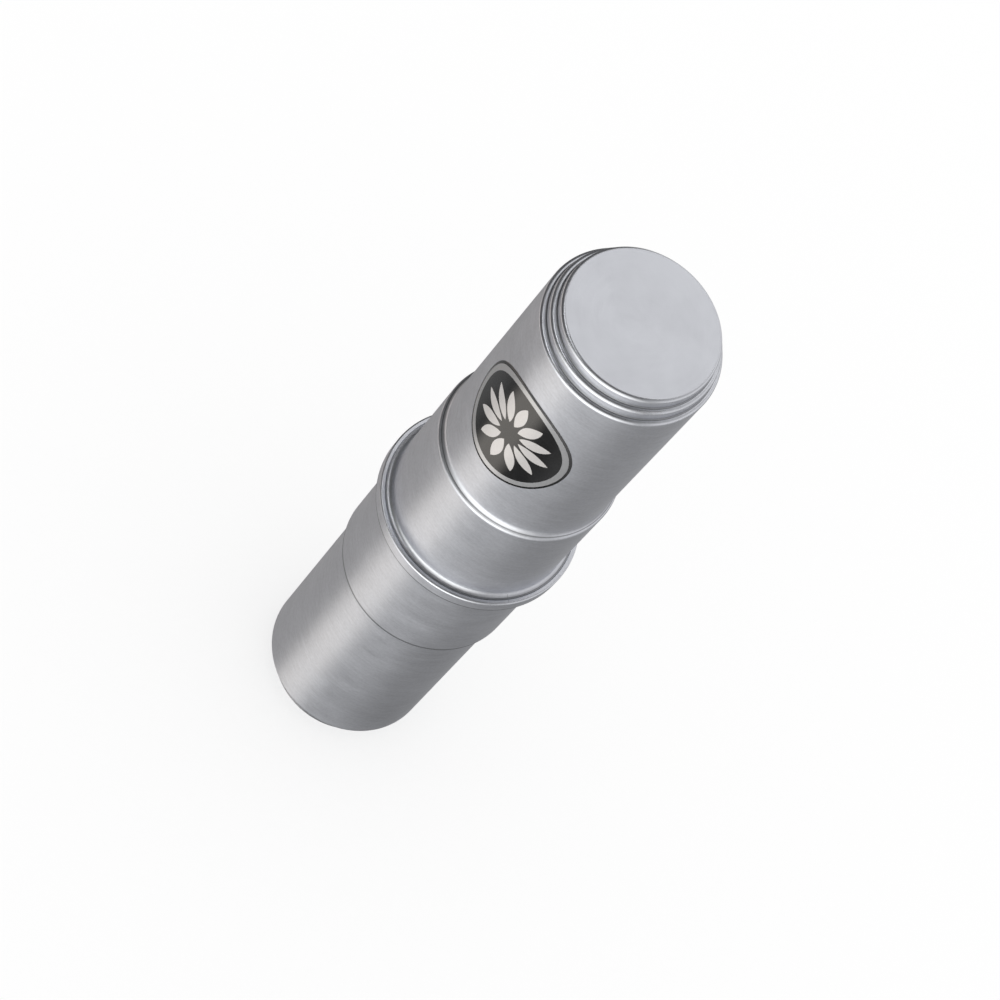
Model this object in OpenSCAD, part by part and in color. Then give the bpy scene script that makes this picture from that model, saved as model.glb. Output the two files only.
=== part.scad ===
// Tubular metal shaker that stands on its lower end. Two like halves, drawn from thin sheet, meet at
// a flanged seam in the middle, and a charge of loose steel balls lies inside.
// Lengths are millimetres. The centre of the lower end face is the origin, and +Z runs up the axis.

/* [Tube] */
// Outside radius of the tube of each half
tube_r = 25; // [23:0.5:30]
// Thickness of the drawn sheet
wall = 0.8; // [0.5:0.05:0.95]
// Height above the seam where the tube's wall ends and its stepped end begins
tube_top = 109; // [86:1:140]

/* [Shoulder] */
// How much wider the section next to the seam is than the tube, on the radius
shoulder_step = 1.4; // [1.1:0.1:2.5]
// Height above the seam where the wide wall ends
shoulder_up = 39.8; // [25:0.1:48]
// Slope of the shoulder between its two bends, in degrees from the axis
shoulder_slope = 50; // [40:1:60]

/* [Stepped end] */
// Number of steps between the tube and the end face
steps = 2; // [1:1:4]
// How far each step stands in from the one below it
step_in = 1.55; // [1.5:0.05:2.5]
// Height of each step
step_up = 3.35; // [2:0.05:5]
// Rounding of each step's outer edge
edge_round = 1; // [0.85:0.05:1.05]
// Rounding in each step's inner corner
corner_round = 0.45; // [0.1:0.05:0.5]

/* [Seam] */
// Thickness of the gasket between the two flanges
gasket_t = 1; // [0.4:0.1:2]
// Height of a flange's face above the middle of the seam
flange_up = 2.3; // [2:0.1:4]
// Rounding between a flange and the wide wall
flange_round = 1.6; // [0.6:0.1:1.6]
// Width of the flange's flat face, up to the seat of the band
flange_flat = 1.65; // [1.6:0.05:3]
// Width of the seat that each flange gives the band's lip
lip_w = 0.65; // [0.4:0.05:1.5]
// Thickness of the band's lips
lip_t = 0.6; // [0.3:0.05:1]
// Thickness of the band outside the flanges
band_t = 0.75; // [0.7:0.05:1.5]
// Rounding of the band's outer edges
band_round = 0.6; // [0.2:0.05:0.65]

/* [Label] */
// Diameter of the round label, laid flat
label_d = 38; // [20:0.5:42]
// Thickness of the label's film
label_t = 0.15; // [0.05:0.05:0.3]

/* [Shot] */
// Diameter of each ball
shot_d = 5; // [3:0.5:6]
// Least gap between balls at rest, and between a ball and the shell
shot_gap = 0.3; // [0.2:0.05:0.6]

/* [Hidden] */

$fn = 128;
// Flat pieces in each rounded corner of a section
arc_parts = 8;
// Facets of a ball
ball_fn = 32;

wide_r = tube_r + shoulder_step;
// Parts of the shoulder's slope that its outer and its inner bend take up
outer_bend_share = 0.33;
inner_bend_share = 0.65;
shoulder_slant = shoulder_step / sin(shoulder_slope);
outer_bend = outer_bend_share * shoulder_slant / tan(shoulder_slope / 2);
inner_bend = inner_bend_share * shoulder_slant / tan(shoulder_slope / 2);
shoulder_top = shoulder_up + shoulder_step / tan(shoulder_slope);
// Foot of the plain tube, where the shoulder's inner bend ends
tube_low = shoulder_top + inner_bend_share * shoulder_slant;
label_up = (tube_low + tube_top) / 2;
label_r = tube_r + label_t;

// Face of the outermost ledge, and the end face above it
ledge_up = tube_top + edge_round;
half_length = ledge_up + steps * step_up;

// Room between the band and what it holds
band_slack = 0.05;
lip_seat_r = wide_r + flange_flat;
flange_r = lip_seat_r + lip_w;
lip_seat_up = flange_up - lip_t;
band_in_r = flange_r + band_slack;
band_r = band_in_r + band_t;
lip_edge_round = lip_t / 3;
// How far the gasket's inner edge stays back from the inner wall
gasket_back = 0.4;

// The balls lie in layers, each nested in the hollows of the layer below
shot_pitch = shot_d + shot_gap;
layer_rise = shot_pitch * sqrt(2 / 3);
row_rise = shot_pitch * sqrt(3) / 2;
// Rows on each side of the axis that a layer is cut from
rows = ceil(tube_r / row_rise) + 1;

// Overrun of a cut past the solid it cuts
over = 1;

function unit(p) = p / norm(p);
function turned(p, a) = [p.x * cos(a) - p.y * sin(a), p.x * sin(a) + p.y * cos(a)];
function left_of(p) = [-p.y, p.x];
function turn_side(a, b, c) = sign(cross(b - a, c - b));

// Points of the bend at b, on the way from a to c, with rounding q
function bend(a, b, c, q) =
    let(
        back = unit(a - b),
        ahead = unit(c - b),
        half = acos(back * ahead) / 2,
        middle = b + unit(back + ahead) * q / sin(half),
        first = b + back * q / tan(half) - middle,
        sweep = turn_side(a, b, c) * (180 - 2 * half)
    )
    q == 0 ? [b] : [for (i = [0 : arc_parts]) middle + turned(first, sweep * i / arc_parts)];

// Points of a path, given as [corner, rounding] pairs, with its inner corners rounded
function rounded(path) = [
    for (i = [0 : len(path) - 1])
        each i == 0 || i == len(path) - 1
            ? [path[i][0]]
            : bend(path[i - 1][0], path[i][0], path[i + 1][0], path[i][1])
];

// The same path moved to its left by the thickness t, with its bends still concentric
function moved_left(path, t) = [
    for (i = [0 : len(path) - 1])
        let(
            first = i == 0,
            last = i == len(path) - 1,
            corner = path[i][0],
            before = first ? corner : path[i - 1][0],
            after = last ? corner : path[i + 1][0],
            side_in = first ? left_of(unit(after - corner)) : left_of(unit(corner - before)),
            side_out = last ? side_in : left_of(unit(after - corner)),
            bend_side = first || last ? 0 : turn_side(before, corner, after)
        )
        [corner + t * (side_in + side_out) / (1 + side_in * side_out), max(path[i][1] - bend_side * t, 0)]
];

function reversed(points) = [for (i = [len(points) - 1 : -1 : 0]) points[i]];

// Outside of a half's wall from the seam to the middle of its end face, as [radius, height]
function wall_path() = [
    [[wide_r, gasket_t / 2], 0],
    [[wide_r, shoulder_up], outer_bend],
    [[tube_r, shoulder_top], inner_bend],
    for (i = [0 : steps - 1])
        each [
            [[tube_r - i * step_in, ledge_up + i * step_up], edge_round],
            [[tube_r - (i + 1) * step_in, ledge_up + i * step_up], corner_round]
        ],
    [[tube_r - steps * step_in, half_length], edge_round],
    [[0, half_length], 0]
];

// Outside of a half's flange, from the gasket out to the foot of the wide wall
function flange_path() = [
    [[flange_r, gasket_t / 2], 0],
    [[flange_r, lip_seat_up], 0],
    [[lip_seat_r, lip_seat_up], 0],
    [[lip_seat_r, flange_up], 0],
    [[wide_r, flange_up], flange_round]
];

// One half, with the seam's middle plane at zero and its closed end up
module half_shell() {
    wall_corners = wall_path();
    outside = concat(flange_path(), [for (i = [1 : len(wall_corners) - 1]) wall_corners[i]]);
    inside = moved_left(wall_corners, wall);
    rotate_extrude() polygon(concat(rounded(outside), reversed(rounded(inside))));
}

// Lower half, which the object stands on
module lower_shell() {
    color("silver") translate([0, 0, half_length]) mirror([0, 0, 1]) half_shell();
}

// Upper half, which carries the label
module upper_shell() {
    color("silver") translate([0, 0, half_length]) half_shell();
}

// Channel-shaped band that clamps the two flanges together
module rim_band() {
    section = [
        [[lip_seat_r + band_slack, 0], 0],
        [[band_in_r, 0], 0],
        [[band_in_r, lip_seat_up], 0],
        [[lip_seat_r + band_slack, lip_seat_up], 0],
        [[lip_seat_r + band_slack, flange_up], lip_edge_round],
        [[band_r, flange_up], band_round],
        [[band_r, 0], 0]
    ];
    upper_side = rounded([for (i = [1 : len(section) - 1]) section[i]]);
    lower_side = [for (p = reversed(upper_side)) [p.x, -p.y]];
    inner_points = len(upper_side) - 1;
    color("gainsboro")
        translate([0, 0, half_length])
        rotate_extrude()
        polygon(concat(
            [for (i = [1 : inner_points - 1]) upper_side[i]],
            [for (i = [1 : inner_points - 1]) lower_side[i]]
        ));
}

// Soft ring between the flanges, which keeps the seam tight and quiet
module seam_gasket() {
    color("dimgray")
        translate([0, 0, half_length - gasket_t / 2])
        difference() {
            cylinder(h = gasket_t, r = flange_r);
            translate([0, 0, -over]) cylinder(h = gasket_t + 2 * over, r = wide_r - wall + gasket_back);
        }
}

// The label as it looks from the front, with its sides narrowed by the tube's bend
module label_outline() {
    polygon([
        for (i = [0 : $fn - 1])
            let(
                flat = turned([label_d / 2, 0], 360 * i / $fn),
                swing = 180 / PI * flat.x / label_r
            )
            [label_r * sin(swing), flat.y]
    ]);
}

// Thin film on the front of the upper tube, halfway up its plain stretch
module label() {
    color("black")
        translate([0, 0, half_length + label_up])
        intersection() {
            difference() {
                cylinder(h = label_d + 2 * over, r = label_r, center = true);
                cylinder(h = label_d + 4 * over, r = tube_r, center = true);
            }
            rotate([90, 0, 0]) linear_extrude(height = label_r + over) label_outline();
        }
}

// Radius inside the lower half at a height above the object's foot
function room_at(z) = tube_r - wall - step_in * (steps - min(steps, floor((z - wall) / step_up)));

// Height of the centres of a layer's balls, counted from zero
function layer_up(n) = wall + shot_gap + shot_d / 2 + n * layer_rise;

// Centres of the balls of a layer, seen from above
function layer_places(n) =
    let(
        reach = room_at(layer_up(n) - shot_d / 2) - shot_gap - shot_d / 2,
        shift = n % 2 == 0 ? [0, 0] : [shot_pitch / 2, row_rise / 3]
    )
    [
        for (row = [-rows : rows], column = [-2 * rows : 2 * rows])
            let(place = shift + [(column + row / 2) * shot_pitch, row * row_rise])
            if (norm(place) <= reach) place
    ];

// One layer of loose balls
module shot_layer(n) {
    color("lightsteelblue")
        for (place = layer_places(n))
            translate([place.x, place.y, layer_up(n)]) sphere(d = shot_d, $fn = ball_fn);
}

lower_shell();
upper_shell();
rim_band();
seam_gasket();
label();
shot_layer(0);  // shot_layer_1
shot_layer(1);  // shot_layer_2
shot_layer(2);  // shot_layer_3
shot_layer(3);  // shot_layer_4
shot_layer(4);  // shot_layer_5
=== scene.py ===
"""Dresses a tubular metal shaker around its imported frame: spun aluminium halves, a rolled band, a
printed label, a rubber gasket and the steel shot. Lengths are metres, +Z runs up the tube, and the
label faces -Y."""

import cmath
import math

import bmesh
import bpy
from bpy.props import FloatProperty, FloatVectorProperty, IntProperty, PointerProperty
from mathutils import Matrix, Vector


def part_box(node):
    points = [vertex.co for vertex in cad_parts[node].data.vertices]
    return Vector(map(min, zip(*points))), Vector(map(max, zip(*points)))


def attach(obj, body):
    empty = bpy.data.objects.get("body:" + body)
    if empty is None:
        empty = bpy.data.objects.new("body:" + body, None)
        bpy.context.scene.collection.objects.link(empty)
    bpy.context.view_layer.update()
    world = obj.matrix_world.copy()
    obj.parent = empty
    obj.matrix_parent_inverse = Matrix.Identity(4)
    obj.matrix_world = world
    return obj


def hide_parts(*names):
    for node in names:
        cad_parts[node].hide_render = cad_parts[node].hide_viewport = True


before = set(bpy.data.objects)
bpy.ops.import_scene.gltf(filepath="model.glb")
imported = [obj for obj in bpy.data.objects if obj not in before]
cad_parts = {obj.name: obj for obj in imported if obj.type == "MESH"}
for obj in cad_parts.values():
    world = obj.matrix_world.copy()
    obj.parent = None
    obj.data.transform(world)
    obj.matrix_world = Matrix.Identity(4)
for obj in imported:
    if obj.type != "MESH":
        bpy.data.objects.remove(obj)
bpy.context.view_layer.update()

bl_info = {
    "name": "Tubular shaker",
    "version": (1, 0, 0),
    "blender": (4, 5, 0),
    "location": "View3D > Sidebar > Shaker",
    "description": "Makes the metal, label, gasket and shot of a tubular shaker around its packed frame",
    "category": "Object",
}

MM = 0.001
WELD = 1e-6
SHELL_BODY = "shell"
SHOT_LAYERS = 5

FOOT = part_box("lower_shell")[0].z
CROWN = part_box("upper_shell")[1].z
SEAM = (FOOT + CROWN) / 2
FLANGE_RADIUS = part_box("upper_shell")[1].x
BAND_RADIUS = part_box("rim_band")[1].x
BAND_HALF_HEIGHT = (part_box("rim_band")[1].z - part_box("rim_band")[0].z) / 2
GASKET_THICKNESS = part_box("seam_gasket")[1].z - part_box("seam_gasket")[0].z
LABEL_LOW, LABEL_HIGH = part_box("label")


def length_setting(name, description, default):
    return FloatProperty(name=name, description=description, default=default, unit="LENGTH")


def angle_setting(name, description, degrees):
    return FloatProperty(
        name=name, description=description, default=math.radians(degrees), unit="ROTATION"
    )


def colour_setting(name, description, default):
    return FloatVectorProperty(
        name=name, description=description, default=default, subtype="COLOR", size=3
    )


class ShakerSizes(bpy.types.PropertyGroup):
    """Sizes of the metal, the label and the shot that the frame's boxes don't give."""

    tube_radius: length_setting("Tube radius", "Outside radius of each half's tube", 25 * MM)
    wall: length_setting("Wall", "Thickness of the drawn sheet", 0.8 * MM)
    shoulder_step: length_setting("Shoulder step", "How much wider the section at the seam is", 1.4 * MM)
    shoulder_up: length_setting("Shoulder height", "Where the wide wall ends, from the seam", 39.8 * MM)
    shoulder_slope: angle_setting("Shoulder slope", "Slope of the shoulder, from the axis", 50)
    steps: IntProperty(name="Steps", description="Steps between the tube and its end face", default=2)
    step_in: length_setting("Step width", "How far each step stands in", 1.55 * MM)
    step_up: length_setting("Step height", "Height of each step", 3.35 * MM)
    edge_round: length_setting("Edge rounding", "Rounding of each step's outer edge", 1 * MM)
    corner_round: length_setting("Corner rounding", "Rounding in each step's inner corner", 0.45 * MM)
    flange_flat: length_setting("Flange width", "Flat of the flange inside the band", 1.65 * MM)
    flange_round: length_setting("Flange rounding", "Rounding between flange and wide wall", 1.6 * MM)
    lip_thickness: length_setting("Lip thickness", "Thickness of the band's lips", 0.6 * MM)
    band_slack: length_setting("Band slack", "Room between the band and the flanges", 0.05 * MM)
    band_round: length_setting("Band rounding", "Rounding of the band's outer edges", 0.6 * MM)
    turns: IntProperty(name="Turns", description="Flat stretches round the axis", default=256)
    label_thickness: length_setting("Label thickness", "Thickness of the label's film", 0.15 * MM)
    border_inset: length_setting("Border inset", "Black edge outside the silver border", 0.85 * MM)
    border_width: length_setting("Border width", "Width of the label's silver border", 1.75 * MM)
    petals: IntProperty(name="Petals", description="Petals of the label's rosette", default=12)
    petal_start: length_setting("Petal start", "Start of a petal, from the rosette's middle", 3.6 * MM)
    petal_length: length_setting("Petal length", "Length of a petal", 9.8 * MM)
    petal_width: length_setting("Petal width", "Width of a petal", 3.4 * MM)
    ball: length_setting("Ball", "Diameter of a ball", 5 * MM)
    ball_gap: length_setting("Ball gap", "Gap between balls at rest", 0.3 * MM)


class ShakerFinish(bpy.types.PropertyGroup):
    """Colours and roughness of the finishes."""

    metal_colour: colour_setting("Aluminium", "Colour of the spun metal", (0.724, 0.737, 0.782))
    metal_roughness: FloatProperty(
        name="Metal roughness", description="Mean roughness of the spun metal", default=0.36,
        min=0, max=1, subtype="FACTOR",
    )
    film_colour: colour_setting("Label film", "Colour of the glossy film", (0.003, 0.003, 0.0035))
    foil_colour: colour_setting("Label foil", "Colour of the foil round the label", (0.78, 0.78, 0.79))
    ink_colour: colour_setting("Label ink", "Colour of the rosette's silver ink", (0.84, 0.81, 0.79))
    rubber_colour: colour_setting("Gasket", "Colour of the gasket's rubber", (0.03, 0.03, 0.032))
    steel_colour: colour_setting("Shot", "Colour of the steel balls", (0.55, 0.56, 0.58))


class ShakerStudio(bpy.types.PropertyGroup):
    """Where the camera stands and how bright the studio is."""

    camera_azimuth: angle_setting(
        "Camera azimuth", "Camera's turn round the tube, from the label's side", 16.4
    )
    camera_reach: length_setting("Camera reach", "Camera's distance from the axis", 0.53926)
    camera_rise: length_setting("Camera rise", "Camera's height above the seam", 0.85735)
    aim_side: length_setting(
        "Aim sideways", "Where the camera aims, to the right of the axis", 2.75 * MM
    )
    aim_rise: length_setting("Aim rise", "Where the camera aims, above the seam", 10.92 * MM)
    camera_roll: angle_setting(
        "Camera roll", "How far the camera leans, so that the tube leans to the right", 41.81
    )
    camera_lens: FloatProperty(
        name="Lens", description="Focal length in millimetres", default=131.7, unit="CAMERA"
    )
    floor_size: length_setting("Floor size", "Side of the floor", 8)
    plain_light: FloatProperty(
        name="Plain light", description="Even light on matt surfaces, where 1 shows them as they are",
        default=1,
    )


# Outlines, as complex numbers: the real part is a radius or a width, the imaginary part a height

ARC_PARTS = 12
HOLD = 0.12 * MM


def unit(step):
    return step / abs(step)


def turn_side(before, corner, after):
    """1 where the path turns left at the corner, -1 where it turns right."""
    return math.copysign(1, ((corner - before).conjugate() * (after - corner)).imag)


def bend(before, corner, after, rounding):
    """Points of the arc that rounds a corner of a path."""
    if not rounding:
        return [corner]
    back = unit(before - corner)
    ahead = unit(after - corner)
    half = abs(cmath.phase(ahead / back)) / 2
    centre = corner + unit(back + ahead) * rounding / math.sin(half)
    first = corner + back * rounding / math.tan(half) - centre
    sweep = turn_side(before, corner, after) * (math.pi - 2 * half)
    return [centre + first * cmath.exp(1j * sweep * i / ARC_PARTS) for i in range(ARC_PARTS + 1)]


def rounded(path):
    """Points of an open path of (corner, rounding) pairs, with a holding point beside each bend."""
    corners = [corner for corner, _ in path]
    arcs = [[corners[0]]]
    for i in range(1, len(path) - 1):
        arcs.append(bend(corners[i - 1], corners[i], corners[i + 1], path[i][1]))
    arcs.append([corners[-1]])
    points = list(arcs[0])
    for arc in arcs[1:]:
        straight = arc[0] - points[-1]
        if abs(straight) > 4 * HOLD:
            points += [points[-1] + HOLD * unit(straight), arc[0] - HOLD * unit(straight)]
        points += arc
    return points


def moved_left(path, distance):
    """The same path moved to its left, with its bends still concentric."""
    moved = []
    for i, (corner, rounding) in enumerate(path):
        first = i == 0
        last = i == len(path) - 1
        into = 1j * unit(path[1][0] - corner if first else corner - path[i - 1][0])
        out = into if last else 1j * unit(path[i + 1][0] - corner)
        shift = (into + out) / (1 + (into.conjugate() * out).real)
        side = 0 if first or last else turn_side(path[i - 1][0], corner, path[i + 1][0])
        moved.append((corner + distance * shift, max(rounding - side * distance, 0)))
    return moved


def wall_path(sizes):
    """Outside of a half from the seam to the middle of its end face, heights from the seam."""
    wide_radius = sizes.tube_radius + sizes.shoulder_step
    slant = sizes.shoulder_step / math.sin(sizes.shoulder_slope)
    bend_scale = slant / math.tan(sizes.shoulder_slope / 2)
    outer_bend_share = 0.33
    inner_bend_share = 0.65
    shoulder_top = sizes.shoulder_up + sizes.shoulder_step / math.tan(sizes.shoulder_slope)
    half_length = CROWN - SEAM
    path = [
        (complex(wide_radius, GASKET_THICKNESS / 2), 0),
        (complex(wide_radius, sizes.shoulder_up), outer_bend_share * bend_scale),
        (complex(sizes.tube_radius, shoulder_top), inner_bend_share * bend_scale),
    ]
    for i in range(sizes.steps):
        ledge = half_length - (sizes.steps - i) * sizes.step_up
        path.append((complex(sizes.tube_radius - i * sizes.step_in, ledge), sizes.edge_round))
        path.append((complex(sizes.tube_radius - (i + 1) * sizes.step_in, ledge), sizes.corner_round))
    face_edge = sizes.tube_radius - sizes.steps * sizes.step_in
    path.append((complex(face_edge, half_length), sizes.edge_round))
    path.append((complex(0, half_length), 0))
    return path


def half_section(sizes):
    """Outline of a half shell, from the axis inside its end face round to the axis outside."""
    wide_radius = sizes.tube_radius + sizes.shoulder_step
    seat_radius = wide_radius + sizes.flange_flat
    seat_height = BAND_HALF_HEIGHT - sizes.lip_thickness
    wall = wall_path(sizes)
    flange = [
        (complex(FLANGE_RADIUS, GASKET_THICKNESS / 2), 0),
        (complex(FLANGE_RADIUS, seat_height), 0),
        (complex(seat_radius, seat_height), 0),
        (complex(seat_radius, BAND_HALF_HEIGHT), 0),
        (complex(wide_radius, BAND_HALF_HEIGHT), sizes.flange_round),
    ]
    inside = rounded(moved_left(wall, sizes.wall))
    return inside[::-1] + rounded(flange + wall[1:])


def band_section(sizes):
    """Closed outline of the band, from the middle of its inner side and back, heights from the seam."""
    inner = FLANGE_RADIUS + sizes.band_slack
    lip = sizes.tube_radius + sizes.shoulder_step + sizes.flange_flat + sizes.band_slack
    seat_height = BAND_HALF_HEIGHT - sizes.lip_thickness
    lip_round = sizes.lip_thickness / 3
    upper = [
        (complex(inner, 0), 0),
        (complex(inner, seat_height), 0),
        (complex(lip, seat_height), 0),
        (complex(lip, BAND_HALF_HEIGHT), lip_round),
        (complex(BAND_RADIUS, BAND_HALF_HEIGHT), sizes.band_round),
        (complex(BAND_RADIUS, 0), 0),
    ]
    points = rounded(upper)
    return points[::-1] + [point.conjugate() for point in points[1:]]


# Node trees


class Steps:
    """Adds nodes to a tree and joins them, so that a tree reads as a list of steps."""

    def __init__(self, tree):
        self.tree = tree

    def feed(self, socket, value):
        if isinstance(value, bpy.types.NodeSocket):
            self.tree.links.new(value, socket)
        else:
            socket.default_value = value

    def add(self, kind, inputs=None, **settings):
        node = self.tree.nodes.new(kind)
        for name, value in settings.items():
            setattr(node, name, value)
        for key, value in (inputs or {}).items():
            self.feed(node.inputs[key], value)
        return node

    def math(self, operation, *values):
        node = self.add("ShaderNodeMath", operation=operation)
        for socket, value in zip(node.inputs, values):
            self.feed(socket, value)
        return node.outputs[0]

    def plus(self, first, second):
        return self.math("ADD", first, second)

    def minus(self, first, second):
        return self.math("SUBTRACT", first, second)

    def times(self, first, second):
        return self.math("MULTIPLY", first, second)

    def mix_colour(self, amount, first, second, blend_type="MIX"):
        """A mix of two colours. The node's colours go in at sockets 6 and 7 and come out at 2."""
        node = self.add("ShaderNodeMix", data_type="RGBA", blend_type=blend_type)
        self.feed(node.inputs["Factor"], amount)
        self.feed(node.inputs[6], first)
        self.feed(node.inputs[7], second)
        return node.outputs[2]

    def split(self, vector):
        """The X, Y and Z of a vector."""
        return self.add("ShaderNodeSeparateXYZ", {0: vector}).outputs

    def join(self, x, y, z):
        return self.add("ShaderNodeCombineXYZ", {0: x, 1: y, 2: z}).outputs[0]

    def object_place(self):
        """Where the shaded spot is on the object."""
        return self.add("ShaderNodeTexCoord").outputs["Object"]

    def from_axis(self, at):
        """How far a split place is from the Z axis."""
        across, along = (self.times(side, side) for side in (at[0], at[1]))
        return self.math("SQRT", self.plus(across, along))

    def noise(self, place, scale, detail, **inputs):
        given = {"Vector": place, "Scale": scale, "Detail": detail, **inputs}
        return self.add("ShaderNodeTexNoise", given).outputs[0]

    def rise(self, value, low, high, **settings):
        """0 where the value is at low, 1 where it is at high."""
        given = {"Value": value, "From Min": low, "From Max": high}
        return self.add("ShaderNodeMapRange", given, **settings).outputs[0]

    def near(self, value, centre, half, edge):
        """1 within a half width of the centre and 0 beyond it, with a soft edge."""
        off = self.math("ABSOLUTE", self.minus(value, centre))
        far, close = self.plus(half, edge), self.minus(half, edge)
        return self.rise(off, far, close, interpolation_type="SMOOTHSTEP")

    def share(self, value, amount, base):
        """A base with a share of the value added."""
        return self.plus(base, self.times(value, amount))

    def relief(self, shader, height, depth, strength=1):
        """Gives a shader's surface the relief of a height, from nought to depth."""
        given = {"Strength": strength, "Distance": depth, "Height": height}
        self.feed(shader.inputs["Normal"], self.add("ShaderNodeBump", given).outputs[0])

    def group(self, name, inputs=None):
        """The outputs of a shader group, which is built when it is first needed."""
        tree = bpy.data.node_groups.get(name) or SHADER_GROUPS[name](name)
        return self.add("ShaderNodeGroup", inputs, node_tree=tree).outputs

    def geometry_place(self):
        """The X, Y and Z of each point of a geometry."""
        return self.split(self.add("GeometryNodeInputPosition").outputs[0])

    def moved(self, geometry, place):
        given = {"Geometry": geometry, "Position": place}
        return self.add("GeometryNodeSetPosition", given).outputs[0]

    def grid_place(self, rows):
        """The column and the row of each point of a grid."""
        index = self.add("GeometryNodeInputIndex").outputs[0]
        column = self.math("FLOOR", self.math("DIVIDE", self.plus(index, 0.5), rows))
        return column, self.minus(index, self.times(column, rows))


def new_tree(name, kind, inputs, outputs):
    """A node tree with named sockets, as (steps, its inputs, its output node)."""
    tree = bpy.data.node_groups.new(name, kind)
    for in_out, sockets in (("INPUT", inputs), ("OUTPUT", outputs)):
        for socket_name, socket_kind, default in sockets:
            socket = tree.interface.new_socket(socket_name, in_out=in_out, socket_type=socket_kind)
            if default is not None:
                socket.default_value = default
    given = tree.nodes.new("NodeGroupInput").outputs
    result = tree.nodes.new("NodeGroupOutput")
    return Steps(tree), given, result


def geometry_tree(name, *inputs):
    return new_tree(name, "GeometryNodeTree", inputs, [("Geometry", GEOMETRY, None)])


def shader_tree(name, inputs, *outputs):
    """A shader group of plain numbers: its inputs with their defaults, and its outputs."""
    return new_tree(
        name, "ShaderNodeTree", [(key, NUMBER, default) for key, default in inputs.items()],
        [(key, NUMBER, None) for key in outputs],
    )


GEOMETRY = "NodeSocketGeometry"
NUMBER = "NodeSocketFloat"
COUNT = "NodeSocketInt"
PLACE = "NodeSocketVector"
FINISH = "NodeSocketMaterial"
CREASE = math.radians(35)
BULGE = "bulge"
ROW_RISE = math.sqrt(3) / 2
PETAL_FULLNESS = 0.8


def end_tree(steps, result, geometry, material):
    """Smooths all but the creases, makes instances real and sets the material."""
    smooth = steps.add("GeometryNodeSetShadeSmooth", {"Geometry": geometry, "Shade Smooth": True})
    crease = steps.math("GREATER_THAN", steps.add("GeometryNodeInputMeshEdgeAngle").outputs[0], CREASE)
    creased = steps.add(
        "GeometryNodeSetShadeSmooth",
        {"Geometry": smooth.outputs[0], "Selection": crease, "Shade Smooth": False},
        domain="EDGE",
    )
    real = steps.add("GeometryNodeRealizeInstances", {"Geometry": creased.outputs[0]})
    done = steps.add("GeometryNodeSetMaterial", {"Geometry": real.outputs[0], "Material": material})
    steps.feed(result.inputs[0], done.outputs[0])
    return steps.tree


def lathe_tree():
    """Spins a section, a chain of points with a radius and a height, round the Z axis."""
    steps, given, result = geometry_tree(
        "Lathe", ("Section", GEOMETRY, None), ("Turns", COUNT, 64), ("Weld", NUMBER, WELD),
        ("Material", FINISH, None),
    )
    count = steps.add("GeometryNodeAttributeDomainSize", {"Geometry": given["Section"]}).outputs[0]
    grid = steps.add(
        "GeometryNodeMeshGrid",
        {"Vertices X": steps.plus(given["Turns"], 1), "Vertices Y": count},
    )
    column, row = steps.grid_place(count)
    place = steps.add("GeometryNodeInputPosition").outputs[0]
    own_bulge = steps.add("GeometryNodeInputNamedAttribute", {"Name": BULGE}).outputs["Attribute"]
    place, bulge = (
        steps.add(
            "GeometryNodeSampleIndex", {"Geometry": given["Section"], "Value": value, "Index": row},
            data_type=kind,
        ).outputs[0]
        for value, kind in ((place, "FLOAT_VECTOR"), (own_bulge, "FLOAT"))
    )
    at = steps.split(place)
    angle = steps.math("DIVIDE", steps.times(column, math.tau), given["Turns"])
    spun = steps.join(
        steps.times(at[0], steps.math("COSINE", angle)),
        steps.times(at[0], steps.math("SINE", angle)),
        at[2],
    )
    marked = steps.add(
        "GeometryNodeStoreNamedAttribute",
        {"Geometry": steps.moved(grid.outputs[0], spun), "Name": BULGE, "Value": bulge},
    )
    welded = steps.add(
        "GeometryNodeMergeByDistance", {"Geometry": marked.outputs[0], "Distance": given["Weld"]}
    )
    return end_tree(steps, result, welded.outputs[0], given["Material"])


def shot_tree():
    """Lays balls in a hexagonal layer and keeps those within reach of the axis."""
    steps, given, result = geometry_tree(
        "Shot layer", ("Geometry", GEOMETRY, None), ("Ball Radius", NUMBER, 1), ("Pitch", NUMBER, 2),
        ("Reach", NUMBER, 10), ("Shift", PLACE, None), ("Rows", COUNT, 9), ("Material", FINISH, None),
    )
    across = steps.plus(steps.times(given["Rows"], 2), 1)
    points = steps.add("GeometryNodeMeshGrid", {"Vertices X": across, "Vertices Y": across})
    column, row = (steps.minus(number, given["Rows"]) for number in steps.grid_place(across))
    shift = steps.split(given["Shift"])
    staggered = steps.plus(column, steps.math("DIVIDE", row, 2))
    row_rise = steps.times(given["Pitch"], ROW_RISE)
    x = steps.share(staggered, given["Pitch"], shift[0])
    y = steps.share(row, row_rise, shift[1])
    placed = steps.moved(points.outputs[0], steps.join(x, y, shift[2]))
    beyond = steps.math("GREATER_THAN", steps.from_axis(steps.geometry_place()), given["Reach"])
    kept = steps.add("GeometryNodeDeleteGeometry", {"Geometry": placed, "Selection": beyond})
    ball = steps.add("GeometryNodeMeshIcoSphere", {"Radius": given["Ball Radius"], "Subdivisions": 3})
    balls = steps.add(
        "GeometryNodeInstanceOnPoints", {"Points": kept.outputs[0], "Instance": ball.outputs[0]}
    )
    real = steps.add("GeometryNodeRealizeInstances", {"Geometry": balls.outputs[0]})
    return end_tree(steps, result, real.outputs[0], given["Material"])


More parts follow.
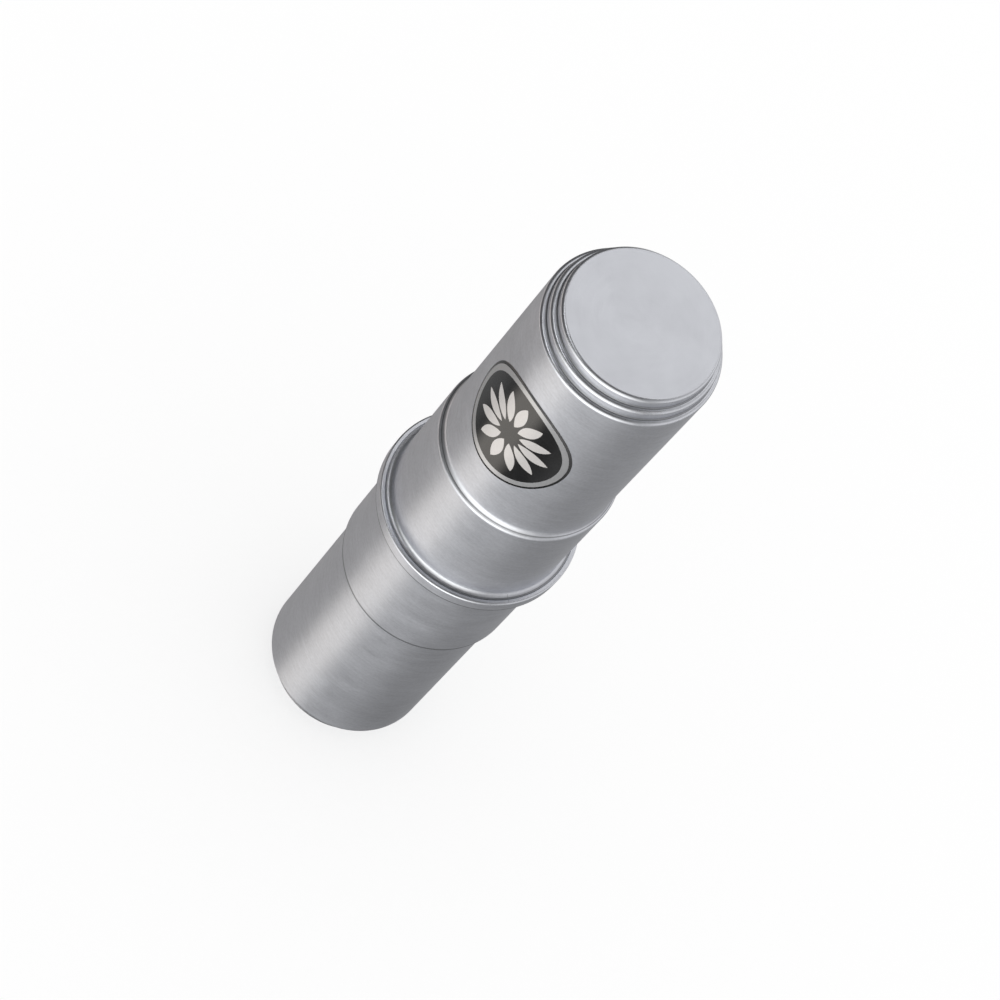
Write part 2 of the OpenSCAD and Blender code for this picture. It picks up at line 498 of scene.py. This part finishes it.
def rosette_tree():
    """Sets petals of foil round a centre and wraps them on the side of a tube that faces -Y."""
    steps, given, result = geometry_tree(
        "Rosette", ("Geometry", GEOMETRY, None), ("Petals", COUNT, 12), ("Inner Radius", NUMBER, 1),
        ("Petal Length", NUMBER, 3), ("Petal Width", NUMBER, 1), ("Foil", NUMBER, 0.01),
        ("Tube Radius", NUMBER, 10), ("Lift", NUMBER, 0.1), ("Height", NUMBER, 0),
        ("Material", FINISH, None),
    )
    grid = steps.add(
        "GeometryNodeMeshGrid", {"Size X": 1, "Size Y": 1, "Vertices X": 13, "Vertices Y": 5}
    )
    flat = steps.geometry_place()
    along = steps.plus(flat[0], 0.5)
    swell = steps.math("SINE", steps.times(along, math.pi))
    belly = steps.math("POWER", swell, PETAL_FULLNESS)
    reach = steps.share(along, given["Petal Length"], given["Inner Radius"])
    aside = steps.times(steps.times(flat[1], given["Petal Width"]), belly)
    petal = steps.moved(grid.outputs[0], steps.join(reach, aside, 0))
    welded = steps.add("GeometryNodeMergeByDistance", {"Geometry": petal, "Distance": WELD})
    foil = steps.add(
        "GeometryNodeExtrudeMesh",
        {"Mesh": welded.outputs[0], "Offset Scale": given["Foil"], "Individual": False},
        mode="FACES",
    )
    back = steps.add("GeometryNodeFlipFaces", {"Mesh": welded.outputs[0]})
    whole = steps.add("GeometryNodeJoinGeometry")
    steps.feed(whole.inputs[0], foil.outputs[0])
    steps.feed(whole.inputs[0], back.outputs[0])
    closed = steps.add("GeometryNodeMergeByDistance", {"Geometry": whole.outputs[0], "Distance": WELD})
    centres = steps.add("GeometryNodeMeshLine", {"Count": given["Petals"], "Offset": (0, 0, 0)})
    number = steps.add("GeometryNodeInputIndex").outputs[0]
    angle = steps.math("DIVIDE", steps.times(number, math.tau), given["Petals"])
    turned = steps.add(
        "GeometryNodeInstanceOnPoints",
        {"Points": centres.outputs[0], "Instance": closed.outputs[0],
         "Rotation": steps.join(0, 0, angle)},
    )
    real = steps.add("GeometryNodeRealizeInstances", {"Geometry": turned.outputs[0]})
    at = steps.geometry_place()
    swing = steps.math("DIVIDE", at[0], given["Tube Radius"])
    radius = steps.plus(steps.plus(given["Tube Radius"], given["Lift"]), at[2])
    bent = steps.join(
        steps.times(radius, steps.math("SINE", swing)),
        steps.times(radius, steps.times(steps.math("COSINE", swing), -1)),
        steps.plus(at[1], given["Height"]),
    )
    return end_tree(steps, result, steps.moved(real.outputs[0], bent), given["Material"])


def grown(name, mesh, tree, **values):
    """Runs a tree on a mesh and keeps the result as a plain mesh object at the origin."""
    source = bpy.data.objects.new(name + "_source", mesh)
    bpy.context.scene.collection.objects.link(source)
    modifier = source.modifiers.new(tree.name, "NODES")
    modifier.node_group = tree
    for item in tree.interface.items_tree:
        key = item.name.replace(" ", "_").lower()
        if item.in_out == "INPUT" and key in values:
            modifier[item.identifier] = values[key]
    bpy.context.view_layer.update()
    evaluated = source.evaluated_get(bpy.context.evaluated_depsgraph_get())
    result = bpy.data.meshes.new_from_object(evaluated)
    if not result.materials[0]:
        result.materials.pop(index=0)
    bpy.data.objects.remove(source)
    bpy.data.meshes.remove(mesh)
    return finished(name, result)


def finished(name, mesh):
    """An object for a closed mesh, which has to be right side out."""
    mesh.name = name
    check = bmesh.new()
    check.from_mesh(mesh)
    volume = check.calc_volume(signed=True)
    open_edges = sum(not edge.is_manifold for edge in check.edges)
    check.free()
    if volume <= 0 or open_edges:
        raise RuntimeError(f"{name}: volume {volume:g}, open edges {open_edges}")
    piece = bpy.data.objects.new(name, mesh)
    bpy.context.scene.collection.objects.link(piece)
    return piece


def dress(piece, body, slot, *nodes):
    """Sets the piece on its body and hides the frame's parts that it stands in for. The slot is not used.
    """
    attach(piece, body)
    if nodes:
        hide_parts(*nodes)


def bulges(points):
    """How sharply an outline with its solid on the left bulges at each point, per millimetre."""
    inner = []
    for before, here, after in zip(points, points[1:], points[2:]):
        into = here - before
        out = after - here
        inner.append(2 * cmath.phase(out / into) / (abs(into) + abs(out)) * MM)
    return [0, *inner, 0]


def chain(name, points, centre):
    """A mesh of points in a row, for the lathe: radius as X, height from the centre as Z, and how much
    each bulges."""
    mesh = bpy.data.meshes.new(name)
    mesh.from_pydata(
        [(point.real, 0, centre + point.imag) for point in points],
        [(i, i + 1) for i in range(len(points) - 1)],
        [],
    )
    mesh.attributes.new(BULGE, "FLOAT", "POINT").data.foreach_set("value", bulges(points))
    return mesh


# Finishes


# Grain: the mean of any noise, the way the rings are cut through it, how much faster they change across
# an end face than along a wall, and how far from the ends the satin stops
NOISE_MEAN = 0.5
RING_SKEW = (0.47, 0.61, 0.64)
FACE_TRAVEL = 1.7
SATIN_STOP = 0.5 * MM


def grain_group(name):
    """Fine rings left by spinning: streaks that run round the axis, on walls and end faces alike, and a
    satin unevenness round nought that only the walls have."""
    steps, given, result = shader_tree(
        name, {"Fineness": 2500, "Streak": 2, "Seed": 0}, "Lines", "Patches", "Satin"
    )
    spot = steps.object_place()
    at = steps.split(spot)
    radius = steps.from_axis(at)
    bearing = [steps.math("DIVIDE", side, steps.plus(radius, WELD)) for side in (at[0], at[1])]
    travel = steps.share(radius, FACE_TRAVEL, at[2])

    def rings(fineness, streak, detail):
        """Noise on a circle that travels askew through it, so that no bearing follows its lattice."""
        way = steps.share(travel, fineness, given["Seed"])
        x, y, z = (steps.times(way, skew) for skew in RING_SKEW)
        place = steps.join(steps.share(bearing[0], streak, x), steps.share(bearing[1], streak, y), z)
        return steps.noise(place, scale=1, detail=detail, Roughness=0.6)

    lines = rings(given["Fineness"], given["Streak"], detail=4)
    speckle = steps.noise(spot, scale=1300, detail=2)
    coarse = rings(fineness=700, streak=6, detail=3)
    uneven = steps.plus(steps.plus(lines, speckle), coarse)
    satin = steps.minus(uneven, 3 * NOISE_MEAN)
    from_seam = steps.math("ABSOLUTE", steps.minus(at[2], SEAM))
    wall = steps.math("LESS_THAN", from_seam, CROWN - SEAM - SATIN_STOP)
    steps.feed(result.inputs["Lines"], lines)
    steps.feed(result.inputs["Patches"], rings(fineness=90, streak=1.6, detail=3))
    steps.feed(result.inputs["Satin"], steps.times(satin, wall))
    return steps.tree


def wear_and_crease_shade_group(name):
    """Where edges are rubbed bright, where sharp creases get painted shade, and where hands leave marks.
    """
    steps, given, result = shader_tree(
        name, {"Sharpness": 1, "Mark Size": 60}, "Edges", "Creases", "Marks"
    )
    bulge = steps.add("ShaderNodeAttribute", attribute_name=BULGE).outputs["Fac"]
    sharp = steps.times(bulge, given["Sharpness"])
    marks = steps.noise(
        steps.object_place(), given["Mark Size"], detail=5, Roughness=0.65, Distortion=0.4
    )
    steps.feed(result.inputs["Edges"], steps.rise(sharp, low=0.8, high=1))
    # Creases is painted shade: it darkens the concave bends
    steps.feed(result.inputs["Creases"], steps.rise(bulge, low=-0.7, high=-2))
    steps.feed(result.inputs["Marks"], steps.rise(marks, low=0.45, high=0.75))
    return steps.tree


def ring_line_group(name):
    """A line of painted shade that runs round the axis at one height."""
    steps, given, result = shader_tree(
        name, {"Height": 0, "Half Width": 0.5 * MM, "Edge": 0.1 * MM}, "Mask"
    )
    height = steps.split(steps.object_place())[2]
    mask = steps.near(height, given["Height"], given["Half Width"], given["Edge"])
    steps.feed(result.inputs["Mask"], mask)
    return steps.tree


def nick_group(name):
    """One short scratch that runs out over the upper half's fillet and flange."""
    steps, given, result = shader_tree(
        name, {"Bearing": 0, "Width": 0.2 * MM, "Low": 0, "High": 10 * MM}, "Mask"
    )
    at = steps.split(steps.object_place())
    bearing = steps.math("ARCTAN2", at[0], steps.times(at[1], -1))
    turned = steps.math("ABSOLUTE", steps.minus(bearing, given["Bearing"]))
    aside = steps.times(turned, steps.from_axis(at))
    above = steps.math("GREATER_THAN", at[2], given["Low"])
    below = steps.math("LESS_THAN", at[2], given["High"])
    along = steps.times(above, below)
    across = steps.rise(aside, given["Width"], 0)
    steps.feed(result.inputs["Mask"], steps.times(across, along))
    return steps.tree


def new_material(name, metallic=0):
    """A node material, as (material, steps, its Principled node)."""
    material = bpy.data.materials.new(name)
    material.use_nodes = True
    shader = material.node_tree.nodes["Principled BSDF"]
    shader.inputs["Metallic"].default_value = metallic
    return material, Steps(material.node_tree), shader


def opaque(colour, scale=1, lift=0):
    """A colour with its channels scaled and lifted, up to 1, and with an alpha of 1."""
    return (*(min(1, scale * channel + lift) for channel in colour), 1)


def grey(level):
    return (level, level, level, 1)


def mottle(steps, shader, mask, colours, roughness):
    """Takes the colour and the roughness from the first of a pair to the second with the mask."""
    steps.feed(shader.inputs["Base Color"], steps.mix_colour(mask, *colours))
    low, high = roughness
    steps.feed(shader.inputs["Roughness"], steps.share(mask, high - low, low))


NICK_BEARING = math.radians(69.4)
NICK_TOP = 2.9 * MM

# Spun metal: colours beside the mean one, how far each layer shows, and what it does to the roughness
DARK, BRIGHT, DENT_AND_SHADE = 0.9, 1.12, 0.5
PATCH_SHARE, RUB_SHARE, NICK_SHARE, SATIN_SHARE = 0.45, 0.5, 0.6, 0.2
LINE_ROUGHNESS, MARK_ROUGHNESS, RUB_ROUGHNESS = 0.12, 0.05, -0.08


def aluminium(name, finish, seed, grain_depth, lines):
    """Spun aluminium: satin, with fine rings, faint broad bands, rubbed edges, a few marks and painted
    shade in its creases. Lines gives the height and the half width of each line of painted shade round the
    axis."""
    material, steps, shader = new_material(name, metallic=1)
    grain = steps.group("Spun grain", {"Seed": seed})
    wear_and_shade = steps.group("Rubbing, marks and crease shade")
    colour = finish.metal_colour
    bright = opaque(colour, BRIGHT)
    patched = steps.mix_colour(grain["Patches"], opaque(colour, DARK), bright)
    toned = steps.mix_colour(PATCH_SHARE, opaque(colour), patched)
    rubbed = steps.mix_colour(steps.times(wear_and_shade["Edges"], RUB_SHARE), toned, bright)
    flange = SEAM + BAND_HALF_HEIGHT - WELD
    nick = steps.group("Nick", {"Bearing": NICK_BEARING, "Low": flange, "High": SEAM + NICK_TOP})["Mask"]
    # Painted shade in the creases and along the lines round the axis joins the real nick here
    scratch_and_shade = steps.math("MAXIMUM", steps.times(nick, NICK_SHARE), wear_and_shade["Creases"])
    for height, half_width in lines:
        line = {"Height": height, "Half Width": half_width, "Edge": half_width / 3}
        scratch_and_shade = steps.math("MAXIMUM", scratch_and_shade, steps.group("Ring line", line)["Mask"])
    # The nick and the painted shade take the colour down to its darkest
    scratched_and_shaded = steps.mix_colour(scratch_and_shade, rubbed, opaque(colour, DENT_AND_SHADE))
    satin = steps.share(grain["Satin"], SATIN_SHARE, 1)
    steps.feed(shader.inputs["Base Color"], steps.mix_colour(1, scratched_and_shaded, satin, "MULTIPLY"))
    uneven = steps.minus(grain["Lines"], NOISE_MEAN)
    rough = steps.share(uneven, LINE_ROUGHNESS, finish.metal_roughness)
    rough = steps.share(wear_and_shade["Marks"], MARK_ROUGHNESS, rough)
    steps.feed(shader.inputs["Roughness"], steps.share(wear_and_shade["Edges"], RUB_ROUGHNESS, rough))
    steps.relief(shader, grain["Lines"], grain_depth)
    return material


def film_black(finish):
    """Glossy black film with a faint ripple and the odd fine scuff."""
    material, steps, shader = new_material("film_black")
    marks = steps.group("Rubbing, marks and crease shade", {"Mark Size": 220})["Marks"]
    dusty = opaque(finish.film_colour, lift=0.004)
    mottle(steps, shader, marks, (opaque(finish.film_colour), dusty), roughness=(0.07, 0.13))
    shader.inputs["IOR"].default_value = 1.8
    ripple = steps.noise(steps.object_place(), scale=320, detail=2)
    steps.relief(shader, ripple, depth=0.004 * MM)
    return material


def silver_print(name, colour, metallic):
    """Silver print under clear film: fine speckle and slightly uneven gloss."""
    material, steps, shader = new_material(name, metallic)
    speckle = steps.noise(steps.object_place(), scale=2600, detail=3)
    dull = opaque(colour, scale=0.86)
    mottle(steps, shader, speckle, (dull, opaque(colour)), roughness=(0.26, 0.38))
    return material


def gasket_rubber(finish):
    """Matt black rubber with a fine grain and a dusting of chalk."""
    material, steps, shader = new_material("black_rubber")
    grain = steps.noise(steps.object_place(), scale=1500, detail=5)
    chalky = opaque(finish.rubber_colour, lift=0.05)
    mottle(steps, shader, grain, (opaque(finish.rubber_colour), chalky), roughness=(0.6, 0.85))
    steps.relief(shader, grain, depth=0.05 * MM, strength=0.6)
    return material


def shot_steel(finish):
    """Tumbled steel balls: bright, with dull rubbed spots."""
    material, steps, shader = new_material("tumbled_steel", metallic=1)
    spots = steps.noise(steps.object_place(), scale=700, detail=4)
    dull = opaque(finish.steel_colour, scale=0.7)
    mottle(steps, shader, spots, (dull, opaque(finish.steel_colour)), roughness=(0.15, 0.45))
    return material


# Label


LABEL_RADIUS = (LABEL_HIGH.z - LABEL_LOW.z) / 2
LABEL_MIDDLE = (LABEL_LOW.z + LABEL_HIGH.z) / 2
LABEL_PARTS = 128


def wrapped(flat, lift, sizes):
    """A flat point of the label laid on the tube, raised by lift."""
    swing = flat.real / (sizes.tube_radius + sizes.label_thickness)
    radius = sizes.tube_radius + lift
    return (radius * math.sin(swing), -radius * math.cos(swing), LABEL_MIDDLE + flat.imag)


def label_ring(inset, lift, sizes):
    """Points of a circle inside the label's edge, laid on the tube and raised by lift."""
    corners = [math.tau * i / LABEL_PARTS for i in range(LABEL_PARTS)]
    return [wrapped(cmath.rect(LABEL_RADIUS - inset, turn), lift, sizes) for turn in corners]


def ringed_mesh(name, rings, middles=()):
    """A mesh of rings of points, each joined to the next. The first and the last close on two middle
    points or, without them, on each other."""
    mesh = bmesh.new()
    loops = [[mesh.verts.new(point) for point in points] for points in rings]
    pairs = list(zip(loops, loops[1:]))
    if not middles:
        pairs.append((loops[-1], loops[0]))
    for inner, outer in pairs:
        for i in range(LABEL_PARTS):
            j = (i + 1) % LABEL_PARTS
            mesh.faces.new((inner[i], outer[i], outer[j], inner[j]))
    for middle, loop in zip(middles, (loops[0], loops[-1])):
        centre = mesh.verts.new(middle)
        for i in range(LABEL_PARTS):
            mesh.faces.new((loop[i], loop[(i + 1) % LABEL_PARTS], centre))
    bmesh.ops.recalc_face_normals(mesh, faces=mesh.faces)
    for face in mesh.faces:
        face.smooth = True
    for edge in mesh.edges:
        edge.smooth = edge.calc_face_angle(0) < CREASE
    result = bpy.data.meshes.new(name)
    mesh.to_mesh(result)
    mesh.free()
    return result


def label_film(sizes):
    """The black film: a thin disc on the tube with a softened edge."""
    top = sizes.label_thickness
    edge = 0.1 * MM
    steps_in = 16
    insets = [LABEL_RADIUS + (edge - LABEL_RADIUS) * i / steps_in for i in range(1, steps_in + 1)]
    softened = [(0.3 * edge, 0.8 * top), (0, 0.4 * top), (0, 0)]
    outline = [(inset, top) for inset in insets] + softened
    outline += [(inset, 0) for inset in reversed(insets)]
    rings = [label_ring(inset, lift, sizes) for inset, lift in outline]
    middles = (wrapped(0j, top, sizes), wrapped(0j, 0, sizes))
    return finished("label_film", ringed_mesh("label_film", rings, middles))


PRINT_LIFT = 0.02 * MM


def print_band(name, sizes, outer_inset, width):
    """A closed ring of foil inside the label's edge."""
    across = 4
    insets = [outer_inset + width * i / across for i in range(across + 1)]
    rings = [label_ring(inset, sizes.label_thickness + PRINT_LIFT, sizes) for inset in insets]
    rings += [label_ring(inset, sizes.label_thickness - PRINT_LIFT, sizes) for inset in reversed(insets)]
    return finished(name, ringed_mesh(name, rings))


# Operators


def dark_line(edge, above, half_width):
    """A line of painted shade round the metal, above an edge, as the height of its middle and its half
    width.
    """
    return edge + above, half_width


class SHAKER_OT_shells(bpy.types.Operator):
    """Spins the two aluminium halves"""

    bl_idname = "shaker.shells"
    bl_label = "Spin the shells"

    def execute(self, context):
        sizes = context.scene.shaker_sizes
        # Painted shade round the lower shoulder's bend, the upper shoulder's bend and the upper flange's
        # top
        lines = (
            dark_line(SEAM - sizes.shoulder_up, above=0.3 * MM, half_width=0.7 * MM),
            dark_line(SEAM + sizes.shoulder_up, above=0.6 * MM, half_width=0.12 * MM),
            dark_line(SEAM + BAND_HALF_HEIGHT, above=0, half_width=0.06 * MM),
        )
        finish = context.scene.shaker_finish
        material = aluminium("spun_aluminium", finish, seed=0, grain_depth=0.006 * MM, lines=lines)
        tree = lathe_tree()
        upper = half_section(sizes)
        lower = [point.conjugate() for point in reversed(upper)]
        for name, node, section in (
            ("upper_shell_metal", "upper_shell", upper), ("lower_shell_metal", "lower_shell", lower)
        ):
            piece = grown(name, chain(name, section, SEAM), tree, turns=sizes.turns, material=material)
            dress(piece, SHELL_BODY, "shell_aluminium", node)
        return {"FINISHED"}


class SHAKER_OT_band(bpy.types.Operator):
    """Spins the band that clamps the flanges"""

    bl_idname = "shaker.band"
    bl_label = "Spin the band"

    def execute(self, context):
        sizes = context.scene.shaker_sizes
        # Painted shade along the band's lower edge
        lines = (dark_line(SEAM - BAND_HALF_HEIGHT, above=0.3 * MM, half_width=0.5 * MM),)
        finish = context.scene.shaker_finish
        material = aluminium("rolled_aluminium", finish, seed=40, grain_depth=0.004 * MM, lines=lines)
        piece = grown(
            "rim_band_metal", chain("rim_band_metal", band_section(sizes), SEAM), lathe_tree(),
            turns=sizes.turns, material=material,
        )
        dress(piece, SHELL_BODY, "band_aluminium", "rim_band")
        return {"FINISHED"}


class SHAKER_OT_gasket(bpy.types.Operator):
    """Gives the gasket between the flanges its rubber"""

    bl_idname = "shaker.gasket"
    bl_label = "Finish the gasket"

    def execute(self, context):
        material = gasket_rubber(context.scene.shaker_finish)
        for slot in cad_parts["seam_gasket"].material_slots:
            slot.material = material
        return {"FINISHED"}


class SHAKER_OT_label(bpy.types.Operator):
    """Lays the printed label on the upper tube"""

    bl_idname = "shaker.label"
    bl_label = "Lay the label"

    def execute(self, context):
        sizes = context.scene.shaker_sizes
        finish = context.scene.shaker_finish
        film = label_film(sizes)
        film.data.materials.append(film_black(finish))
        dress(film, SHELL_BODY, "label_film", "label")
        border = print_band("label_border", sizes, sizes.border_inset, sizes.border_width)
        border.data.materials.append(silver_print("silver_foil", finish.foil_colour, 1))
        dress(border, SHELL_BODY, "label_film")
        rosette = grown(
            "label_rosette", bpy.data.meshes.new("label_rosette"), rosette_tree(),
            petals=sizes.petals, inner_radius=sizes.petal_start, petal_length=sizes.petal_length,
            petal_width=sizes.petal_width, foil=2 * PRINT_LIFT, tube_radius=sizes.tube_radius,
            lift=sizes.label_thickness - PRINT_LIFT, height=LABEL_MIDDLE,
            material=silver_print("silver_ink", finish.ink_colour, 0.5),
        )
        dress(rosette, SHELL_BODY, "label_film")
        return {"FINISHED"}


class SHAKER_OT_shot(bpy.types.Operator):
    """Lays the balls of shot in their layers"""

    bl_idname = "shaker.shot"
    bl_label = "Fill with shot"

    def execute(self, context):
        sizes = context.scene.shaker_sizes
        material = shot_steel(context.scene.shaker_finish)
        tree = shot_tree()
        pitch = sizes.ball + sizes.ball_gap
        for number in range(1, SHOT_LAYERS + 1):
            node = f"shot_layer_{number}"
            low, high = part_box(node)
            nested = number % 2 == 0
            aside = (pitch / 2, pitch * ROW_RISE / 3) if nested else (0, 0)
            shift = (*aside, (low.z + high.z) / 2)
            reach = max(vertex.co.xy.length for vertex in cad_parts[node].data.vertices)
            name = f"shot_{number}_balls"
            piece = grown(
                name, bpy.data.meshes.new(name), tree, ball_radius=sizes.ball / 2, pitch=pitch,
                reach=reach - sizes.ball / 2 + sizes.ball_gap / 3, shift=shift, material=material,
            )
            dress(piece, f"shot_{number}", "shot_steel", node)
        return {"FINISHED"}


SOFTBOXES = (
    # name, azimuth, half width and its edge, elevation, half height and its edge, radiance, tint
    ("front strip", 5, 39, 24, -2, 22, 16, 1.66, (1.01, 1.01, 0.97)),
    ("front low", -5, 38, 42, -34, 17, 8, 1.14, (1.0, 1.0, 1.0)),
    ("mirror low", -36, 24, 12, -60, 9, 5, 0.86, (1.07, 1.01, 0.93)),
    ("left low", -110, 40, 24, -60, 16, 12, 0.21, (1.0, 1.0, 1.0)),
    ("left middle", -88, 42, 25, -36, 8, 6, 0.8, (1.1, 1.0, 0.92)),
    ("low back", -176, 36, 16, -56, 22, 7, 0.1, (1.0, 1.0, 1.0)),
    ("right", 110, 82, 17, -13, 45, 8, 0.26, (1.0, 1.0, 1.0)),
    ("right back", 133, 61, 8, 23, 37, 8, 0.4, (1.0, 1.0, 1.0)),
    ("front high", 18, 30, 16, 37, 12, 8, 0.85, (1.01, 1.0, 0.97)),
    ("overhead back", -172, 32, 8, 54, 12, 5, 0.68, (1.0, 1.0, 1.0)),
    ("overhead left", -79, 42, 11, 57, 5, 4, 2.15, (1.0, 1.0, 1.0)),
)
STUDIO_FILL = 0.08


def softbox_group(name):
    """How strongly a direction, given by azimuth and elevation in degrees, sees one softbox."""
    steps, given, result = shader_tree(
        name,
        {"Azimuth": 0, "Elevation": 0, "Box Azimuth": 0, "Half Width": 20, "Side Edge": 10,
         "Box Elevation": 0, "Half Height": 20, "Top Edge": 10},
        "Share",
    )
    aside = steps.minus(given["Azimuth"], given["Box Azimuth"])
    turned = steps.math("WRAP", aside, 180, -180)
    across = steps.near(turned, 0, given["Half Width"], given["Side Edge"])
    upright = steps.near(
        given["Elevation"], given["Box Elevation"], given["Half Height"], given["Top Edge"]
    )
    steps.feed(result.inputs["Share"], steps.times(across, upright))
    return steps.tree


def studio_world(studio):
    """White for the camera, softboxes for gloss, and an even light for everything else."""
    world = bpy.data.worlds.new("studio")
    world.use_nodes = True
    world.node_tree.nodes.clear()
    steps = Steps(world.node_tree)
    way = steps.split(steps.add("ShaderNodeTexCoord").outputs["Generated"])
    heading = steps.math("ARCTAN2", way[0], steps.times(way[1], -1))
    azimuth = steps.math("DEGREES", steps.minus(heading, studio.camera_azimuth))
    elevation = steps.math("DEGREES", steps.math("ARCSINE", way[2]))
    glow = (STUDIO_FILL,) * 3
    for name, centre, half_width, side_edge, rise, half_height, top_edge, radiance, tint in SOFTBOXES:
        share = steps.group("Softbox", {
            "Azimuth": azimuth, "Elevation": elevation, "Box Azimuth": centre, "Half Width": half_width,
            "Side Edge": side_edge, "Box Elevation": rise, "Half Height": half_height,
            "Top Edge": top_edge,
        })["Share"]
        colour = [radiance * channel for channel in tint]
        lit = steps.add("ShaderNodeVectorMath", {0: colour, "Scale": share}, operation="SCALE", label=name)
        glow = steps.add("ShaderNodeVectorMath", {0: glow, 1: lit.outputs[0]}, operation="ADD").outputs[0]
    path = steps.add("ShaderNodeLightPath").outputs
    light = steps.mix_colour(path["Is Glossy Ray"], grey(studio.plain_light), glow)
    seen = steps.math("MAXIMUM", path["Is Camera Ray"], path["Is Transmission Ray"])
    shown = steps.mix_colour(seen, light, grey(1))
    background = steps.add("ShaderNodeBackground", {"Color": shown, "Strength": 1})
    output = steps.add("ShaderNodeOutputWorld")
    steps.feed(output.inputs["Surface"], background.outputs[0])
    return world


SHADER_GROUPS = {
    "Spun grain": grain_group, "Rubbing, marks and crease shade": wear_and_crease_shade_group, "Ring line": ring_line_group,
    "Nick": nick_group, "Softbox": softbox_group,
}
FLOOR_WHITE = 0.99
FLOOR_SHADED = 0.35


def pale_floor(studio):
    """A plain white floor that glows for the camera alone, so that the soft shadow on it is faint."""
    half = studio.floor_size / 2
    mesh = bpy.data.meshes.new("floor")
    corners = [(x * half, y * half, 0) for x, y in ((-1, -1), (1, -1), (1, 1), (-1, 1))]
    mesh.from_pydata(corners, [], [(0, 1, 2, 3)])
    floor = bpy.data.objects.new("floor", mesh)
    bpy.context.scene.collection.objects.link(floor)
    floor.visible_glossy = False
    material, steps, shader = new_material("floor_white")
    camera_ray = steps.add("ShaderNodeLightPath").outputs["Is Camera Ray"]
    paint = steps.mix_colour(camera_ray, grey(FLOOR_WHITE), grey(FLOOR_SHADED))
    glow = steps.times(camera_ray, 1 - FLOOR_SHADED)
    steps.feed(shader.inputs["Base Color"], paint)
    steps.feed(shader.inputs["Emission Color"], grey(1))
    steps.feed(shader.inputs["Emission Strength"], glow)
    steps.feed(shader.inputs["Roughness"], 1)
    steps.feed(shader.inputs["Specular IOR Level"], 0)
    mesh.materials.append(material)


def studio_camera(studio):
    """The camera, which looks down on the shaker from its front right and leans to one side."""
    towards = Vector((math.sin(studio.camera_azimuth), -math.cos(studio.camera_azimuth), 0))
    aside = Vector((-towards.y, towards.x, 0))
    up = Vector((0, 0, 1))
    place = SEAM * up + studio.camera_reach * towards + studio.camera_rise * up
    aim = SEAM * up + studio.aim_side * aside + studio.aim_rise * up
    turn = (aim - place).to_track_quat("-Z", "Y").to_matrix().to_4x4()
    lean = Matrix.Rotation(studio.camera_roll, 4, "Z")
    data = bpy.data.cameras.new("camera")
    data.lens = studio.camera_lens
    data.sensor_width = 36
    camera = bpy.data.objects.new("camera", data)
    camera.matrix_world = Matrix.Translation(place) @ turn @ lean
    bpy.context.scene.collection.objects.link(camera)
    bpy.context.scene.camera = camera


class SHAKER_OT_stage(bpy.types.Operator):
    """Sets up the floor, the light and the camera"""

    bl_idname = "shaker.stage"
    bl_label = "Set the stage"

    def execute(self, context):
        studio = context.scene.shaker_studio
        pale_floor(studio)
        context.scene.world = studio_world(studio)
        studio_camera(studio)
        context.scene.view_settings.view_transform = "Standard"
        return {"FINISHED"}


class SHAKER_PT_panel(bpy.types.Panel):
    """Lists the pieces of the shaker and their settings"""

    bl_idname = "SHAKER_PT_panel"
    bl_label = "Shaker"
    bl_space_type = "VIEW_3D"
    bl_region_type = "UI"
    bl_category = "Shaker"

    def draw(self, context):
        for operator in OPERATORS:
            self.layout.operator(operator.bl_idname)
        for settings in (
            context.scene.shaker_sizes, context.scene.shaker_finish, context.scene.shaker_studio
        ):
            box = self.layout.box()
            for name in settings.bl_rna.properties.keys():
                if name not in ("name", "rna_type"):
                    box.prop(settings, name)


SETTINGS = {
    "shaker_sizes": ShakerSizes,
    "shaker_finish": ShakerFinish,
    "shaker_studio": ShakerStudio,
}
OPERATORS = (
    SHAKER_OT_stage,
    SHAKER_OT_shells,
    SHAKER_OT_band,
    SHAKER_OT_gasket,
    SHAKER_OT_label,
    SHAKER_OT_shot,
)
CLASSES = (*SETTINGS.values(), *OPERATORS, SHAKER_PT_panel)


def register():
    for cls in CLASSES:
        bpy.utils.register_class(cls)
    for name, cls in SETTINGS.items():
        setattr(bpy.types.Scene, name, PointerProperty(type=cls))


def unregister():
    for name in SETTINGS:
        delattr(bpy.types.Scene, name)
    for cls in reversed(CLASSES):
        bpy.utils.unregister_class(cls)


def main():
    register()
    bpy.ops.shaker.stage()
    bpy.ops.shaker.shells()
    bpy.ops.shaker.band()
    bpy.ops.shaker.gasket()
    bpy.ops.shaker.label()
    bpy.ops.shaker.shot()


if __name__ == "__main__":
    main()
